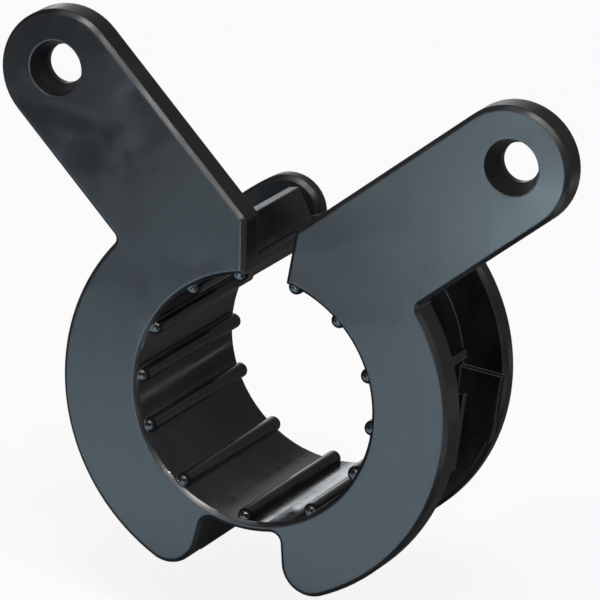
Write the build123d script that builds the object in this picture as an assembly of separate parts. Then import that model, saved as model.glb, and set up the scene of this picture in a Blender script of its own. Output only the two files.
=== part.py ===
from build123d import *
import os
from math import cos, radians, sin, sqrt, tan

# Split clamp for a pipe, moulded in one piece: two half clamps and the thin strap that hinges them
# The pipe axis is Y and the front face is at Y = 0, the ears point up, and the origin is on the pipe axis
# All sizes are in millimetres and degrees, in the open shape in which the clamp is moulded

# Pipe and ribbed sleeve
pipe_diameter = 22.2
rib_height = 0.9
rib_radius = 0.75
rib_nose_setback = 0.35
rib_angles = (76.0, 51.0, 22.5, -2.0, -26.0, -56.0)
strap_rib_angle = -90.0
sleeve_wall = 0.95
sleeve_length = 21.7

# Front flange
front_flange_thickness = 3.0
front_flange_radius = 19.7
front_edge_bevel = 0.42
mouth_bevel = 0.42
lobe_corner_radius = 3.0
lobe_lean = 9.0
strap_root_radius = 1.05

# Ears and their screw holes
ear_width = 12.0
ear_angle = 42.1
ear_reach = 35.25
ear_sideways_shift = 4.97
ear_notch_radius = 0.7
ear_corner_radius = 1.0
screw_hole_front_radius = 2.7
screw_hole_back_radius = 1.9
screw_hole_land = 0.8
screw_hole_from_tip = 5.55

# Back flange
back_flange_thickness = 1.6
back_flange_radius = 18.4
back_flange_inset = 0.9
back_flange_drop = 0.5
back_end_setback = 1.1
back_corner_radius = 3.6
back_edge_bevel = 0.45

# Hinge strap and the angle through which the halves close
strap_half_width = 4.0
strap_seam = 2.6
closing_angle = 9.8

# End walls and webs between the flanges
web_thickness = 1.0
web_radius = 17.3
bottom_wall_radius = 17.75
web_reach = 10.3
web_slope = 50.0
end_wall_setback = 0.4
middle_web_height = 5.3
middle_web_thickness = 0.7
middle_web_radius = 16.9
middle_web_reach = 9.2

# Upright fins between the flanges: one across the groove, one against the back flange
fin_thickness = 0.7
fin_side = 17.15
fin_lean = 2.2
front_fin_from_face = 9.85
front_fin_top = 1.7
front_fin_bottom = -6.0
back_fin_top = 0.9
back_fin_bottom = -5.9

# Sizes that follow from the ones above
bore_radius = pipe_diameter / 2 + rib_height
sleeve_radius = bore_radius + sleeve_wall
rib_centre_radius = bore_radius - rib_height + rib_radius
wall_middle = (bore_radius + sleeve_radius) / 2
hinge_height = -wall_middle
half_closing = closing_angle / 2
far_side = 4 * (ear_reach + ear_width)
back_flange_start = sleeve_length - back_flange_thickness


def along_pipe(profile, start, length):
    """Extrude an upright profile (X across, Z up) away from the viewer."""
    return extrude(Plane.XZ.offset(-start) * profile, amount=-length)


def funnel(front_radius, back_radius, depth):
    """Round cutter that narrows from the front face inward."""
    return Rot(-90, 0, 0) * Pos(0, 0, depth / 2) * Cone(front_radius, back_radius, depth)


def beyond(edge, offset=0):
    """Upright profile of everything on the +X side of an edge line."""
    return edge * Pos(offset, 0) * Rectangle(far_side, far_side, align=(Align.MIN, Align.CENTER))


def strip(edge, offset, width):
    """Upright profile of a straight wall beside an edge line."""
    return edge * Pos(offset, 0) * Rectangle(width, far_side, align=(Align.MIN, Align.CENTER))


def corner_near(profile, x, z):
    """The vertex of a flat profile nearest to a place in its plane."""
    return profile.vertices().sort_by_distance((x, z, 0))[0]


# Lines that end each half: the closing face runs through the hinge line, the lobe face leans outward
closing_edge = Pos(0, hinge_height) * Rot(0, 0, -half_closing)
lobe_edge = Pos(strap_half_width, -sleeve_radius) * Rot(0, 0, lobe_lean)

# Front flange outline: a ring with its ear, under the ear's straight inner edge
ear_direction = (cos(radians(ear_angle)), sin(radians(ear_angle)))
ear_side = (-ear_direction[1], ear_direction[0])
ear_centre_x = ear_reach * ear_direction[0] + ear_sideways_shift * ear_side[0]
ear_centre_z = ear_reach * ear_direction[1] + ear_sideways_shift * ear_side[1]
ear = Pos(ear_reach / 2, ear_sideways_shift) * Rectangle(ear_reach, ear_width)
ear = Rot(0, 0, ear_angle) * (ear + Pos(ear_reach, ear_sideways_shift) * Circle(ear_width / 2))
inner_edge_offset = ear_sideways_shift + ear_width / 2
under_ear = Rot(0, 0, ear_angle) * Pos(0, inner_edge_offset - far_side / 2) * Rectangle(far_side, far_side)
outline = (Circle(front_flange_radius) & under_ear) + ear - Circle(bore_radius)
outline = outline & beyond(closing_edge) & beyond(lobe_edge)
strap_arc = Circle(sleeve_radius) - Circle(bore_radius)
strap_arc &= Pos(strap_half_width, -sleeve_radius) * Rectangle(2 * strap_half_width, sleeve_radius)
outline = (outline + strap_arc).face()

# Rounded corners of the outline
notch_edge = ear_sideways_shift - ear_width / 2
notch_along = sqrt(front_flange_radius**2 - notch_edge**2)
notch_x = notch_along * ear_direction[0] + notch_edge * ear_side[0]
notch_z = notch_along * ear_direction[1] + notch_edge * ear_side[1]
closing_x = (inner_edge_offset / cos(radians(ear_angle)) - hinge_height) * sin(radians(half_closing))
closing_z = inner_edge_offset / cos(radians(ear_angle)) + closing_x * ear_direction[1] / ear_direction[0]
lobe_x = strap_half_width + (front_flange_radius - sleeve_radius) * sin(radians(lobe_lean))
lobe_z = -sqrt(front_flange_radius**2 - lobe_x**2)
outline = fillet(corner_near(outline, notch_x, notch_z), ear_notch_radius)
outline = fillet(corner_near(outline, closing_x, closing_z), ear_corner_radius)
lobe_depth = front_flange_radius - sleeve_radius
outline = fillet(corner_near(outline, lobe_x, lobe_z), min(lobe_corner_radius, 0.45 * lobe_depth))
outline = fillet(corner_near(outline, strap_half_width, -sleeve_radius), strap_root_radius)
front_flange = along_pipe(outline, 0, front_flange_thickness)

# Sleeve with its closing face, carried on to the middle of the strap
sleeve_ring = along_pipe(Circle(sleeve_radius) - Circle(bore_radius), 0, sleeve_length)
sleeve = sleeve_ring & along_pipe(beyond(closing_edge), 0, sleeve_length)
half = front_flange + sleeve

# Bevelled front edge round the outline, up to the seam of the strap, and a bevelled mouth
front_edges = half.edges().group_by(Axis.Y)[0]
seam_edges = front_edges.filter_by(lambda e: abs(e.center().X) < front_edge_bevel / 2)
mouth_edges = front_edges.filter_by(GeomType.CIRCLE)
mouth_edges = mouth_edges.filter_by(lambda e: bore_radius / 2 < e.radius < wall_middle)
half = chamfer(front_edges - mouth_edges - seam_edges, front_edge_bevel)
half -= funnel(bore_radius + mouth_bevel, bore_radius, mouth_bevel)

# Screw hole through the ear: a funnel from the front, then a short straight land
hole_back = ear_width / 2 - screw_hole_from_tip
hole_x = ear_centre_x + hole_back * ear_direction[0]
hole_z = ear_centre_z + hole_back * ear_direction[1]
funnel_depth = front_flange_thickness - screw_hole_land
half -= Pos(hole_x, 0, hole_z) * funnel(screw_hole_front_radius, screw_hole_back_radius, funnel_depth)
half -= along_pipe(Pos(hole_x, hole_z) * Circle(screw_hole_back_radius), 0, front_flange_thickness)

# Back flange, smaller and thinner, with rounded ends and no ear
back_disc = Pos(-back_flange_inset, -back_flange_drop) * Circle(back_flange_radius)
back_outline = (back_disc - Circle(bore_radius)) & beyond(closing_edge, back_end_setback) & beyond(lobe_edge)
back_outline = back_outline.face()
back_tips = back_outline.vertices().sort_by(lambda v: -abs(v.Y))[0:2]
back_depth = back_flange_radius - back_flange_drop - bore_radius
back_outline = fillet(back_tips, min(back_corner_radius, 0.65 * back_depth))
back_flange = along_pipe(back_outline, back_flange_start, back_flange_thickness)
back_rim = back_flange.edges().group_by(Axis.Y)[0].filter_by(
    lambda e: e.center().X**2 + e.center().Z**2 > sleeve_radius**2
)
half += chamfer(back_rim, back_edge_bevel)


def web_ring(outer_radius, reach):
    """Ring behind the front flange: full height, then sloping down to the sleeve."""
    web_top = front_flange_thickness + reach
    web_root = web_top + (outer_radius - sleeve_radius) / tan(radians(web_slope))
    profile = Polyline(
        (wall_middle, front_flange_thickness),
        (outer_radius, front_flange_thickness),
        (outer_radius, web_top),
        (sleeve_radius, web_root),
        (wall_middle, web_root),
        close=True,
    )
    return revolve(make_face(profile), Axis.Y)


# Walls and webs that carry the front flange on the sleeve
above_axis = Pos(0, far_side / 2) * Rectangle(far_side, far_side)
below_axis = Pos(0, -far_side / 2) * Rectangle(far_side, far_side)
top_wall = strip(closing_edge, end_wall_setback, web_thickness) & above_axis
bottom_wall = strip(lobe_edge, end_wall_setback, web_thickness) & below_axis
middle_web = Rectangle(far_side, middle_web_thickness, align=(Align.MIN, Align.MAX))
half += web_ring(web_radius, web_reach) & along_pipe(top_wall, 0, sleeve_length)
half += web_ring(bottom_wall_radius, web_reach) & along_pipe(bottom_wall, 0, sleeve_length)
middle_ring = web_ring(middle_web_radius, middle_web_reach)
half += middle_ring & along_pipe(Pos(0, middle_web_height) * middle_web, 0, sleeve_length)


def fin(top, bottom, from_face):
    """Upright fin from the sleeve to a side edge that leans a little outward at the top."""
    plan = Pos(-fin_side / 2, (top + bottom) / 2) * Rectangle(fin_side, top - bottom)
    plan = Pos(fin_side, 0) * Rot(0, 0, -fin_lean) * plan - Circle(wall_middle)
    return along_pipe(plan, from_face, fin_thickness)


# The fins stand between the flanges, below the middle web, and the back one ends at the flange's rim
half += fin(front_fin_top, front_fin_bottom, front_fin_from_face)
back_fin = fin(back_fin_top, back_fin_bottom, back_flange_start - fin_thickness)
half += back_fin & along_pipe(back_disc, 0, sleeve_length)


def rib(angle):
    """Round rib along the pipe with a ball nose and a flush tail, sunk into the sleeve wall."""
    length = sleeve_length - rib_nose_setback - rib_radius
    bar = Pos(0, 0, length / 2) * Cylinder(rib_radius, length) + Sphere(rib_radius)
    place = Pos(
        rib_centre_radius * cos(radians(angle)),
        rib_nose_setback + rib_radius,
        rib_centre_radius * sin(radians(angle)),
    )
    return place * Rot(-90, 0, 0) * bar & full_sleeve


# Only the material inside the outer face of the sleeve is kept of each rib
full_sleeve = along_pipe(Circle(wall_middle), 0, sleeve_length)
for rib_angle in rib_angles:
    half += rib(rib_angle)

# The strap is the stretch of sleeve between the two halves, with the lowest rib on it
strap_block = Pos(0, sleeve_length / 2, hinge_height) * Box(2 * strap_seam, sleeve_length, 4 * sleeve_wall)
right_half = half - strap_block
left_half = mirror(right_half, about=Plane.YZ)
strap_side = half & strap_block
hinge_strap = strap_side + mirror(strap_side, about=Plane.YZ) + rib(strap_rib_angle)

os.makedirs("parts", exist_ok=True)
for name, shape in (("left_half", left_half), ("right_half", right_half), ("hinge_strap", hinge_strap)):
    export_step(shape, f"parts/{name}.step")
    print(name, "volume", round(shape.volume, 2), "solids", len(shape.solids()))
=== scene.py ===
import math

import bmesh
import bpy
from mathutils import Matrix, Vector


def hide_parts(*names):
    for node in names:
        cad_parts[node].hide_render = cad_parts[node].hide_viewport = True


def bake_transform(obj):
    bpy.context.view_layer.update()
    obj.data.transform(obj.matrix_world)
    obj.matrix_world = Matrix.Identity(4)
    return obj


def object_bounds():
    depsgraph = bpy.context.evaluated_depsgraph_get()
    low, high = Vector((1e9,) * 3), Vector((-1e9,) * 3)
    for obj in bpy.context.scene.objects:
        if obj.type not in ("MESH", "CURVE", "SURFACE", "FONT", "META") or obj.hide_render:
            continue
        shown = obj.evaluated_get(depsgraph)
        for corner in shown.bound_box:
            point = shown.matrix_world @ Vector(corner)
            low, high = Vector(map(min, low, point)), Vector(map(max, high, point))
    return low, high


# Looks of a moulded pipe hanger: black plastic, its bending strap, and a plain white studio
# Everything is in metres in the frame of the model: +Y along the pipe, +Z up between the ears

MM = 0.001

# Strap and its rib, as they are in the model
BORE_RADIUS = 12.0 * MM
SLEEVE_RADIUS = 12.95 * MM
SLEEVE_LENGTH = 21.7 * MM
STRAP_SEAM = 2.6 * MM
MOUTH_BEVEL = 0.42 * MM
STRAP_EDGE_BEVEL = 0.42 * MM
RIB_RADIUS = 0.75 * MM
RIB_CENTRE_RADIUS = 11.85 * MM
RIB_NOSE_SETBACK = 0.35 * MM
RIB_TAIL_GAP = 0.01 * MM

# Mesh of the strap: the turn that its section is spun through, and how finely it is made
STRAP_SPREAD = 30.0
STRAP_STEPS = 60
NOSE_SEGMENTS = 32
NOSE_RINGS = 16
WELD = 0.001 * MM
SHARP_ANGLE = 32.0

# Camera, solved from the circles and edges of the clamp, with its angles in degrees
CAMERA_AZIMUTH = 22.319
CAMERA_ELEVATION = 17.786
CAMERA_ROLL = 5.698
CAMERA_DISTANCE = 639.65 * MM
CAMERA_TARGET = Vector((3.769 * MM, 0.0, 10.667 * MM))
FIELD_OF_VIEW = 4.985
SENSOR_WIDTH = 36.0
NEAREST_SEEN = 0.05
FARTHEST_SEEN = 20.0

# Plastic: near black, satin on the outside, polished on the ribs and inside the sleeve
PLASTIC_DEEP = (0.0052, 0.0040, 0.0046, 1.0)
PLASTIC_PALE = (0.0115, 0.0118, 0.0125, 1.0)
SATIN_ROUGHNESS = 0.27
POLISHED_ROUGHNESS = 0.05
PLASTIC_SHINE = 0.5
POLISH_STARTS = 0.3 * MM
POLISH_FULL = 0.02 * MM

# Marks in the skin, each a noise: cells per metre, detail, roughness and distortion
FLOW_CLOUDS = (95.0, 4.0, 0.6, 0.8)
FLOW_STREAKS = (1500.0, 3.0, 0.6, 0.3)
MOULD_GRAIN = (5200.0, 2.0, 0.6, 0.0)
MOULD_PITS = (1700.0, 2.0, 0.5, 0.0)
# Soft pale patches that paint a mottled sheen
SHEEN_PATCHES = (240.0, 2.0, 0.5, 0.6)
STREAKS_DRAWN_OUT = (1.0, 1.0, 0.08)
SHEEN_PATCHES_DRAWN_OUT = (1.0, 1.0, 0.5)

# Range of each noise in which its mark comes up, and how far back the streaks come up in full
CLOUD_RANGE = (0.35, 0.66)
STREAK_RANGE = (0.38, 0.68)
SHEEN_PATCH_RANGE = (0.5, 0.8)
STREAKS_FROM = (3.0 * MM, 6.0 * MM)
STREAKS_IN_FRONT = 0.15

# What each mark does to the tone, to the roughness and to the height of the skin
CLOUD_TONE, STREAK_TONE, SHEEN_PATCH_TONE = 0.7, 0.3, 0.25
CLOUD_DULLING, STREAK_DULLING, SHEEN_PATCH_DULLING = 0.09, 0.03, 0.06
CLOUD_HEIGHT, STREAK_HEIGHT, GRAIN_HEIGHT, PIT_HEIGHT = 1.3, 0.6, 0.55, 0.45
# Colour of the soft pale patches: a painted sheen
SHEEN_PATCH_COLOUR = (0.030, 0.031, 0.033, 1.0)
SKIN_BUMP = 0.5
SKIN_DEPTH = 0.012 * MM

# Edges: rounded to the eye and made a touch paler by a painted highlight, but not where the strap runs
# into the halves
EDGE_ROUND = 0.25 * MM
EDGE_SAMPLES = 6
EDGE_LIKENESS = (0.995, 0.80)
# Share and colour of the painted highlight along the edges
EDGE_HIGHLIGHT_SHARE = 0.65
EDGE_HIGHLIGHT_COLOUR = (0.100, 0.110, 0.120, 1.0)
SEAM_FADE = 3 * EDGE_ROUND

# Studio
FLOOR_HALF = 4000 * MM
FLOOR_DROP = 6.6 * MM
FLOOR_COLOUR = (0.97, 0.97, 0.97, 1.0)
FLOOR_CLOUDS = (3.0, 2.0, 0.55, 0.0)
FLOOR_CLOUD_RANGE = (0.3, 0.7)
FLOOR_CLOUD_SHADE = 0.985
FLOOR_BOUNCE = (0.10, 0.10, 0.10, 1.0)
FLOOR_SHADOW = 0.12
FLOOR_IN_GLOSS = 0.03
WORLD_COLOUR = (1.0, 1.0, 1.0, 1.0)
WORLD_STRENGTH = 0.10
WORLD_IN_GLOSS = 0.05

WHITE = (1.0, 1.0, 1.0)
WARM_WHITE = (1.0, 0.97, 0.95)
COOL_WHITE = (0.90, 0.96, 1.0)

# Overhead light: azimuth and elevation in degrees, distance, strength, angle in degrees, colour
OVERHEAD = (16, 60, 1.0, 1.4, 20, WARM_WHITE)

# Glowing cards on the floor: name, middle across and along, size, power, colour
CARD_LIFT = 0.6 * MM
LIGHT_CARDS = (
    ("card_near", (-0.026, -0.0475), (0.104, 0.071), 0.066, (0.64, 0.85, 1.0)),
    ("card_far", (-0.002, -0.168), (0.060, 0.072), 0.40, (0.66, 0.88, 1.0)),
    ("card_right", (0.085, -0.026), (0.050, 0.060), 0.012, (0.80, 0.92, 1.0)),
    ("card_behind", (0.093, 0.144), (0.062, 0.062), 0.0055, (1.0, 0.95, 0.92)),
)

# Lamps: name, azimuth and elevation in degrees, distance, size, power, colour
SOFT_LAMPS = (
    ("behind_low", 200, 6, 0.5, (0.26, 0.08), 0.12, COOL_WHITE),
    ("behind_left", -158, 18, 0.6, (0.26, 0.14), 0.045, WHITE),
    ("soft_right", 54, 37, 0.75, (0.20, 0.20), 0.15, COOL_WHITE),
    ("soft_top", -50, 62, 0.75, (0.20, 0.20), 0.25, COOL_WHITE),
)

# Small flashes that glint on the rib noses: azimuth and elevation in degrees, power
FLASH_DISTANCE = 0.75
FLASH_SIZE = (0.025, 0.025)
FLASHES = ((-7, 46, 0.6), (51, 46, 0.8), (51, 5, 0.3), (-7, 5, 0.5))


def around(azimuth, elevation, distance=1.0):
    """A place at an azimuth and elevation round the middle of the object, azimuth 0 in front of it."""
    turn, lift = math.radians(azimuth), math.radians(elevation)
    return Vector((
        math.sin(turn) * math.cos(lift),
        -math.cos(turn) * math.cos(lift),
        math.sin(lift),
    )) * distance


def place_camera():
    """The camera stands where the photographer's lens was, with its small roll."""
    azimuth, roll = math.radians(CAMERA_AZIMUTH), math.radians(CAMERA_ROLL)
    back = around(CAMERA_AZIMUTH, CAMERA_ELEVATION)
    level_right = Vector((math.cos(azimuth), math.sin(azimuth), 0.0))
    level_up = back.cross(level_right)
    right = math.cos(roll) * level_right + math.sin(roll) * level_up
    up = math.cos(roll) * level_up - math.sin(roll) * level_right
    data = bpy.data.cameras.new("photo_camera")
    data.sensor_width = SENSOR_WIDTH
    data.lens = SENSOR_WIDTH / 2 / math.tan(math.radians(FIELD_OF_VIEW) / 2)
    data.clip_start = NEAREST_SEEN
    data.clip_end = FARTHEST_SEEN
    camera = bpy.data.objects.new("photo_camera", data)
    turned = Matrix((right, up, back)).transposed().to_4x4()
    camera.matrix_world = Matrix.Translation(CAMERA_TARGET + CAMERA_DISTANCE * back) @ turned
    bpy.context.scene.collection.objects.link(camera)
    bpy.context.scene.camera = camera


def add_object(name, mesh_builder):
    """A new mesh object made by one bmesh function, with its place in its mesh."""
    shape = bmesh.new()
    mesh_builder(shape)
    mesh = bpy.data.meshes.new(name)
    shape.to_mesh(mesh)
    shape.free()
    piece = bpy.data.objects.new(name, mesh)
    bpy.context.scene.collection.objects.link(piece)
    return piece


def cut_away(shape, place, outward, near=0.0):
    """Cuts a shape with a plane, takes off what lies outward, and gives the new rim."""
    cut = bmesh.ops.bisect_plane(
        shape,
        geom=[*shape.verts, *shape.edges, *shape.faces],
        dist=near,
        plane_co=place,
        plane_no=outward,
        clear_outer=True,
    )
    return [edge for edge in cut["geom_cut"] if isinstance(edge, bmesh.types.BMEdge)]


def strap_rib(shape):
    """Round rib of the strap: a ball nose at the front and a straight bar to the back edge."""
    nose = Vector((0.0, RIB_NOSE_SETBACK + RIB_RADIUS, -RIB_CENTRE_RADIUS))
    bmesh.ops.create_uvsphere(
        shape,
        u_segments=NOSE_SEGMENTS,
        v_segments=NOSE_RINGS,
        radius=RIB_RADIUS,
        matrix=Matrix.Translation(nose) @ Matrix.Rotation(math.radians(90), 4, "X"),
    )
    rim = cut_away(shape, nose, (0, 1, 0), near=WELD)
    bar = bmesh.ops.extrude_edge_only(shape, edges=rim)["geom"]
    tail = [part for part in bar if isinstance(part, bmesh.types.BMVert)]
    bmesh.ops.translate(shape, vec=(0, SLEEVE_LENGTH - RIB_TAIL_GAP - nose.y, 0), verts=tail)
    sides = [part for part in bar if isinstance(part, bmesh.types.BMEdge)]
    bmesh.ops.holes_fill(shape, edges=[side for side in sides if all(v in tail for v in side.verts)])


def strap_wall(shape):
    """Thin curved wall of the strap: a section spun round the pipe axis and cut at both seams."""
    corners = (
        (BORE_RADIUS, MOUTH_BEVEL),
        (BORE_RADIUS + MOUTH_BEVEL, 0.0),
        (SLEEVE_RADIUS - STRAP_EDGE_BEVEL, 0.0),
        (SLEEVE_RADIUS, STRAP_EDGE_BEVEL),
        (SLEEVE_RADIUS, SLEEVE_LENGTH),
        (BORE_RADIUS, SLEEVE_LENGTH),
    )
    section = shape.faces.new([shape.verts.new((0.0, along, -across)) for across, along in corners])
    turned = Matrix.Rotation(math.radians(-STRAP_SPREAD / 2), 3, "Y")
    bmesh.ops.rotate(shape, cent=(0, 0, 0), matrix=turned, verts=section.verts)
    bmesh.ops.spin(
        shape,
        geom=[section, *section.edges, *section.verts],
        cent=(0, 0, 0),
        axis=(0, 1, 0),
        angle=math.radians(STRAP_SPREAD),
        steps=STRAP_STEPS,
    )
    for seam in (-STRAP_SEAM, STRAP_SEAM):
        rim = cut_away(shape, (seam, 0, 0), (math.copysign(1.0, seam), 0, 0))
        bmesh.ops.holes_fill(shape, edges=rim)


def strap_with_rib(shape):
    """The bending strap between the halves, with the lowest rib on it."""
    strap_rib(shape)
    strap_wall(shape)
    bmesh.ops.remove_doubles(shape, verts=shape.verts, dist=WELD)
    bmesh.ops.recalc_face_normals(shape, faces=shape.faces)
    for face in shape.faces:
        face.smooth = True


def new_socket(group, name, way, kind, default=None):
    """A named input or output of a node group."""
    socket = group.interface.new_socket(name=name, in_out=way, socket_type=kind)
    if default is not None:
        socket.default_value = default


def add_node(tree, kind, **values):
    """A node of one kind, with its settings."""
    node = tree.nodes.new(kind)
    for name, value in values.items():
        setattr(node, name, value)
    return node


def noise(tree, coordinates, scale, detail, roughness, distortion):
    """A noise over the given coordinates, with its scale in cells per metre."""
    node = add_node(tree, "ShaderNodeTexNoise")
    tree.links.new(coordinates, node.inputs["Vector"])
    node.inputs["Scale"].default_value = scale
    node.inputs["Detail"].default_value = detail
    node.inputs["Roughness"].default_value = roughness
    node.inputs["Distortion"].default_value = distortion
    return node.outputs["Fac"]


def drawn_out(tree, coordinates, factors):
    """The coordinates scaled by three factors, to draw a noise out into streaks."""
    node = add_node(tree, "ShaderNodeMapping")
    tree.links.new(coordinates, node.inputs["Vector"])
    node.inputs["Scale"].default_value = factors
    return node.outputs["Vector"]


def split_up(tree, coordinates):
    """The three parts of the coordinates, by their letters."""
    node = add_node(tree, "ShaderNodeSeparateXYZ")
    tree.links.new(coordinates, node.inputs["Vector"])
    return node.outputs


def between(tree, value, low, high, new_low=0.0, new_high=1.0):
    """A value brought from one range to another, with soft ends."""
    node = add_node(tree, "ShaderNodeMapRange", interpolation_type="SMOOTHSTEP")
    tree.links.new(value, node.inputs["Value"])
    node.inputs["From Min"].default_value = low
    node.inputs["From Max"].default_value = high
    node.inputs["To Min"].default_value = new_low
    node.inputs["To Max"].default_value = new_high
    return node.outputs["Result"]


def number_step(tree, operation, *values):
    """One step of arithmetic on values that may be sockets or numbers."""
    node = add_node(tree, "ShaderNodeMath", operation=operation)
    for socket, value in zip(node.inputs, values):
        if isinstance(value, (int, float)):
            socket.default_value = value
        else:
            tree.links.new(value, socket)
    return node.outputs["Value"]


def vector_step(tree, operation, *values):
    """One step of arithmetic on vectors that may be sockets or fixed: the node's outputs."""
    node = add_node(tree, "ShaderNodeVectorMath", operation=operation)
    for socket, value in zip(node.inputs, values):
        if isinstance(value, tuple):
            socket.default_value = value
        else:
            tree.links.new(value, socket)
    return node.outputs


def blended(tree, factor, first, second):
    """Two colours mixed by a value."""
    node = add_node(tree, "ShaderNodeMix", data_type="RGBA")
    tree.links.new(factor, node.inputs["Factor"])
    for socket, value in ((node.inputs["A"], first), (node.inputs["B"], second)):
        if isinstance(value, tuple):
            socket.default_value = value
        else:
            tree.links.new(value, socket)
    return node.outputs["Result"]


def put_out(group, **results):
    """The outputs of a node group, each linked to what it puts out."""
    result = add_node(group, "NodeGroupOutput")
    for name, value in results.items():
        group.links.new(value, result.inputs[name])


def moulded_skin_group():
    """Skin of a moulding: cloudy flow marks, fine streaks, mould grain, and soft pale patches of painted
    sheen that are also a little rougher.
    """
    group = bpy.data.node_groups.new("moulded_skin", "ShaderNodeTree")
    new_socket(group, "Coordinates", "INPUT", "NodeSocketVector")
    new_socket(group, "Deep", "INPUT", "NodeSocketColor", PLASTIC_DEEP)
    new_socket(group, "Pale", "INPUT", "NodeSocketColor", PLASTIC_PALE)
    new_socket(group, "Roughness", "INPUT", "NodeSocketFloat", SATIN_ROUGHNESS)
    new_socket(group, "Colour", "OUTPUT", "NodeSocketColor")
    new_socket(group, "Roughness", "OUTPUT", "NodeSocketFloat")
    new_socket(group, "Height", "OUTPUT", "NodeSocketFloat")
    given = add_node(group, "NodeGroupInput").outputs
    where = given["Coordinates"]

    clouds = noise(group, where, *FLOW_CLOUDS)
    streaks = noise(group, drawn_out(group, where, STREAKS_DRAWN_OUT), *FLOW_STREAKS)
    grain = noise(group, where, *MOULD_GRAIN)
    pits = noise(group, where, *MOULD_PITS)
    sheen_patches = noise(group, drawn_out(group, where, SHEEN_PATCHES_DRAWN_OUT), *SHEEN_PATCHES)

    along = split_up(group, where)["Y"]
    streak_share = between(group, along, *STREAKS_FROM, STREAKS_IN_FRONT, 1.0)
    cloud_mask = between(group, clouds, *CLOUD_RANGE)
    streak_mask = number_step(group, "MULTIPLY", between(group, streaks, *STREAK_RANGE), streak_share)
    # Mask of the soft pale patches of painted sheen
    sheen_patch_mask = between(group, sheen_patches, *SHEEN_PATCH_RANGE)

    depth = number_step(group, "MULTIPLY", cloud_mask, CLOUD_TONE)
    depth = number_step(group, "MULTIPLY_ADD", streak_mask, STREAK_TONE, depth)
    colour = blended(group, depth, given["Deep"], given["Pale"])
    # Painted sheen: soft pale patches that stand in for a mottled sheen
    colour = blended(group, number_step(group, "MULTIPLY", sheen_patch_mask, SHEEN_PATCH_TONE), colour, SHEEN_PATCH_COLOUR)

    dull = number_step(group, "MULTIPLY_ADD", cloud_mask, CLOUD_DULLING, given["Roughness"])
    dull = number_step(group, "MULTIPLY_ADD", streak_mask, STREAK_DULLING, dull)
    dull = number_step(group, "MULTIPLY_ADD", sheen_patch_mask, SHEEN_PATCH_DULLING, dull)

    height = number_step(group, "MULTIPLY", pits, PIT_HEIGHT)
    height = number_step(group, "MULTIPLY_ADD", grain, GRAIN_HEIGHT, height)
    streaks_here = number_step(group, "MULTIPLY", streaks, streak_share)
    height = number_step(group, "MULTIPLY_ADD", streaks_here, STREAK_HEIGHT, height)
    height = number_step(group, "MULTIPLY_ADD", clouds, CLOUD_HEIGHT, height)
    put_out(group, Colour=colour, Roughness=dull, Height=height)
    return group


def edges_painted_highlight_group():
    """Edges: a softly rounded normal, and a mask where the surface turns sharply, which carries a
    painted highlight.
    """
    group = bpy.data.node_groups.new("edges_painted_highlight", "ShaderNodeTree")
    new_socket(group, "Coordinates", "INPUT", "NodeSocketVector")
    new_socket(group, "Round", "INPUT", "NodeSocketFloat", EDGE_ROUND)
    new_socket(group, "Normal", "OUTPUT", "NodeSocketVector")
    new_socket(group, "Wear", "OUTPUT", "NodeSocketFloat")
    given = add_node(group, "NodeGroupInput").outputs

    place = split_up(group, given["Coordinates"])
    off_middle = number_step(group, "ABSOLUTE", place["X"])
    aside = between(group, off_middle, STRAP_SEAM, STRAP_SEAM + SEAM_FADE)
    above = between(group, place["Z"], -SLEEVE_RADIUS / 2, 0.0)
    off_seam = number_step(group, "MAXIMUM", aside, above)
    rounded = add_node(group, "ShaderNodeBevel", samples=EDGE_SAMPLES)
    group.links.new(number_step(group, "MULTIPLY", given["Round"], off_seam), rounded.inputs["Radius"])

    flat = add_node(group, "ShaderNodeNewGeometry").outputs["Normal"]
    likeness = vector_step(group, "DOT_PRODUCT", rounded.outputs["Normal"], flat)["Value"]
    # Painted highlight: 1 where the rounded normal turns away from the flat one, along the edges
    painted_highlight = between(group, likeness, *EDGE_LIKENESS)
    put_out(group, Normal=rounded.outputs["Normal"], Wear=painted_highlight)
    return group


def bore_polish_group():
    """Mask of the polished surfaces by distance from the axis: the ribs and the sleeve's inside."""
    group = bpy.data.node_groups.new("bore_polish", "ShaderNodeTree")
    new_socket(group, "Coordinates", "INPUT", "NodeSocketVector")
    new_socket(group, "Mask", "OUTPUT", "NodeSocketFloat")
    given = add_node(group, "NodeGroupInput").outputs
    across = vector_step(group, "MULTIPLY", given["Coordinates"], (1.0, 0.0, 1.0))["Vector"]
    radius = vector_step(group, "LENGTH", across)["Value"]
    mask = between(group, radius, BORE_RADIUS + POLISH_STARTS, BORE_RADIUS + POLISH_FULL)
    put_out(group, Mask=mask)
    return group


def place_group(tree, group, **values):
    """A group placed in a material, with its inputs set or linked: its outputs."""
    node = add_node(tree, "ShaderNodeGroup", node_tree=group)
    for name, value in values.items():
        socket = node.inputs[name]
        if isinstance(value, bpy.types.NodeSocket):
            tree.links.new(value, socket)
        else:
            socket.default_value = value
    return node.outputs


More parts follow.
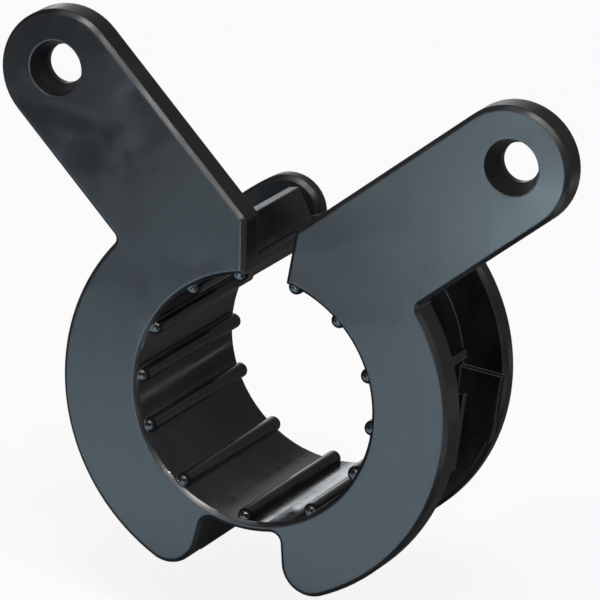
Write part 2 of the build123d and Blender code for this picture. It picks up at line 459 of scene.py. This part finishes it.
def black_plastic():
    """Black moulded plastic: satin outside, glossier in the sleeve, with a painted highlight that makes
    its edges paler.
    """
    skin, edges, polish = moulded_skin_group(), edges_painted_highlight_group(), bore_polish_group()
    material = bpy.data.materials.new("black_plastic")
    material.use_nodes = True
    tree = material.node_tree
    shader = tree.nodes["Principled BSDF"]
    where = add_node(tree, "ShaderNodeTexCoord").outputs["Object"]
    surface = place_group(
        tree, skin, Coordinates=where, Deep=PLASTIC_DEEP, Pale=PLASTIC_PALE, Roughness=SATIN_ROUGHNESS
    )
    edge = place_group(tree, edges, Coordinates=where, Round=EDGE_ROUND)
    inside = place_group(tree, polish, Coordinates=where)

    # Painted highlight: the edges are made paler to stand in for the light that they catch
    painted_edge_highlight = number_step(tree, "MULTIPLY", edge["Wear"], EDGE_HIGHLIGHT_SHARE)
    colour = blended(tree, painted_edge_highlight, surface["Colour"], EDGE_HIGHLIGHT_COLOUR)
    tree.links.new(colour, shader.inputs["Base Color"])
    drop = number_step(tree, "MULTIPLY", inside["Mask"], POLISHED_ROUGHNESS - SATIN_ROUGHNESS)
    tree.links.new(number_step(tree, "ADD", surface["Roughness"], drop), shader.inputs["Roughness"])

    bump = add_node(tree, "ShaderNodeBump")
    bump.inputs["Strength"].default_value = SKIN_BUMP
    bump.inputs["Distance"].default_value = SKIN_DEPTH
    tree.links.new(surface["Height"], bump.inputs["Height"])
    tree.links.new(edge["Normal"], bump.inputs["Normal"])
    tree.links.new(bump.outputs["Normal"], shader.inputs["Normal"])
    shader.inputs["Specular IOR Level"].default_value = PLASTIC_SHINE
    return material


def seen_directly(tree, in_gloss):
    """1 where the camera looks straight at the surface, and a share of it in reflections."""
    path = add_node(tree, "ShaderNodeLightPath")
    gloss = number_step(tree, "MULTIPLY", path.outputs["Is Glossy Ray"], in_gloss)
    glass = number_step(tree, "MAXIMUM", path.outputs["Is Transmission Ray"], gloss)
    return number_step(tree, "MAXIMUM", path.outputs["Is Camera Ray"], glass)


def mixed_shaders(tree, factor, first, second):
    """Two shaders mixed by a number or a socket."""
    node = add_node(tree, "ShaderNodeMixShader")
    if isinstance(factor, float):
        node.inputs["Fac"].default_value = factor
    else:
        tree.links.new(factor, node.inputs["Fac"])
    tree.links.new(first, node.inputs[1])
    tree.links.new(second, node.inputs[2])
    return node.outputs["Shader"]


def white_floor():
    """Pale floor: a plain grey for the light that it throws, white to the eye, with a soft shadow."""
    material = bpy.data.materials.new("white_floor")
    material.use_nodes = True
    tree = material.node_tree
    tree.nodes.remove(tree.nodes["Principled BSDF"])
    where = add_node(tree, "ShaderNodeTexCoord").outputs["Object"]
    cloud = between(tree, noise(tree, where, *FLOOR_CLOUDS), *FLOOR_CLOUD_RANGE)
    shade = (*(FLOOR_CLOUD_SHADE * part for part in FLOOR_COLOUR[:3]), 1.0)
    bounce = add_node(tree, "ShaderNodeBsdfDiffuse")
    bounce.inputs["Color"].default_value = FLOOR_BOUNCE
    shaded = add_node(tree, "ShaderNodeBsdfDiffuse")
    tree.links.new(blended(tree, cloud, FLOOR_COLOUR, shade), shaded.inputs["Color"])
    bright = add_node(tree, "ShaderNodeEmission")
    bright.inputs["Strength"].default_value = 1.0
    eye = mixed_shaders(tree, FLOOR_SHADOW, bright.outputs["Emission"], shaded.outputs["BSDF"])
    both = mixed_shaders(tree, seen_directly(tree, FLOOR_IN_GLOSS), bounce.outputs["BSDF"], eye)
    tree.links.new(both, tree.nodes["Material Output"].inputs["Surface"])
    return material


def add_floor(height):
    """A wide plain floor, just under the lowest point that the opened half reaches."""
    def sheet(shape):
        bmesh.ops.create_grid(
            shape, x_segments=2, y_segments=2, size=FLOOR_HALF, matrix=Matrix.Translation((0, 0, height))
        )
    floor = add_object("floor", sheet)
    floor.data.materials.append(white_floor())


def studio_world():
    """Dim even light from all round, white where the camera looks past the floor."""
    world = bpy.data.worlds.new("studio")
    world.use_nodes = True
    tree = world.node_tree
    background = tree.nodes["Background"]
    background.inputs["Color"].default_value = WORLD_COLOUR
    seen = seen_directly(tree, WORLD_IN_GLOSS)
    strength = number_step(tree, "MULTIPLY_ADD", seen, 1.0 - WORLD_STRENGTH, WORLD_STRENGTH)
    tree.links.new(strength, background.inputs["Strength"])
    bpy.context.scene.world = world


def add_lamp(data, place, aim, colour):
    """A lamp at one place, turned towards another."""
    data.color = colour
    lamp = bpy.data.objects.new(data.name, data)
    lamp.location = place
    lamp.rotation_euler = (Vector(aim) - Vector(place)).to_track_quat("-Z", "Y").to_euler()
    bpy.context.scene.collection.objects.link(lamp)
    return lamp


def area_lamp(name, place, aim, size, power, colour):
    """A soft rectangular lamp that the camera doesn't see."""
    data = bpy.data.lights.new(name, "AREA")
    data.shape = "RECTANGLE"
    data.size, data.size_y = size
    data.energy = power
    add_lamp(data, place, aim, colour).visible_camera = False


def light_the_studio(floor_height):
    """Light from overhead, cards face up on the floor that show in the gloss, soft lamps and flashes."""
    azimuth, elevation, distance, strength, angle, colour = OVERHEAD
    sun = bpy.data.lights.new("overhead", "SUN")
    sun.energy = strength
    sun.angle = math.radians(angle)
    add_lamp(sun, around(azimuth, elevation, distance), (0, 0, 0), colour)
    height = floor_height + CARD_LIFT
    for name, (across, along), size, power, colour in LIGHT_CARDS:
        area_lamp(name, (across, along, height), (across, along, 1.0), size, power, colour)
    for name, azimuth, elevation, distance, size, power, colour in SOFT_LAMPS:
        area_lamp(name, around(azimuth, elevation, distance), (0, 0, 0), size, power, colour)
    for azimuth, elevation, power in FLASHES:
        place = around(azimuth, elevation, FLASH_DISTANCE)
        area_lamp(f"flash_{azimuth}_{elevation}", place, (0, 0, 0), FLASH_SIZE, power, WHITE)


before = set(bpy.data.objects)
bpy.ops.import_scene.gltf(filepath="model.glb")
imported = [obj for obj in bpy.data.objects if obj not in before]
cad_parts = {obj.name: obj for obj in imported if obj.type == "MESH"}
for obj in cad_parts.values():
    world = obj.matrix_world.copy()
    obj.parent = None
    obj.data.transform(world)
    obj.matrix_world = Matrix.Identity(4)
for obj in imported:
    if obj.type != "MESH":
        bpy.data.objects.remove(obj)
cad_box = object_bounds()
bpy.context.scene.view_settings.view_transform = "Standard"
place_camera()

strap = add_object("hinge_strap_bending", strap_with_rib)
strap.data.set_sharp_from_angle(angle=math.radians(SHARP_ANGLE))
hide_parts("hinge_strap")
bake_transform(strap)

plastic = black_plastic()
for piece in (*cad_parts.values(), strap):
    piece.data.materials.clear()
    piece.data.materials.append(plastic)

floor_height = cad_box[0][2] - FLOOR_DROP
add_floor(floor_height)
studio_world()
light_the_studio(floor_height)
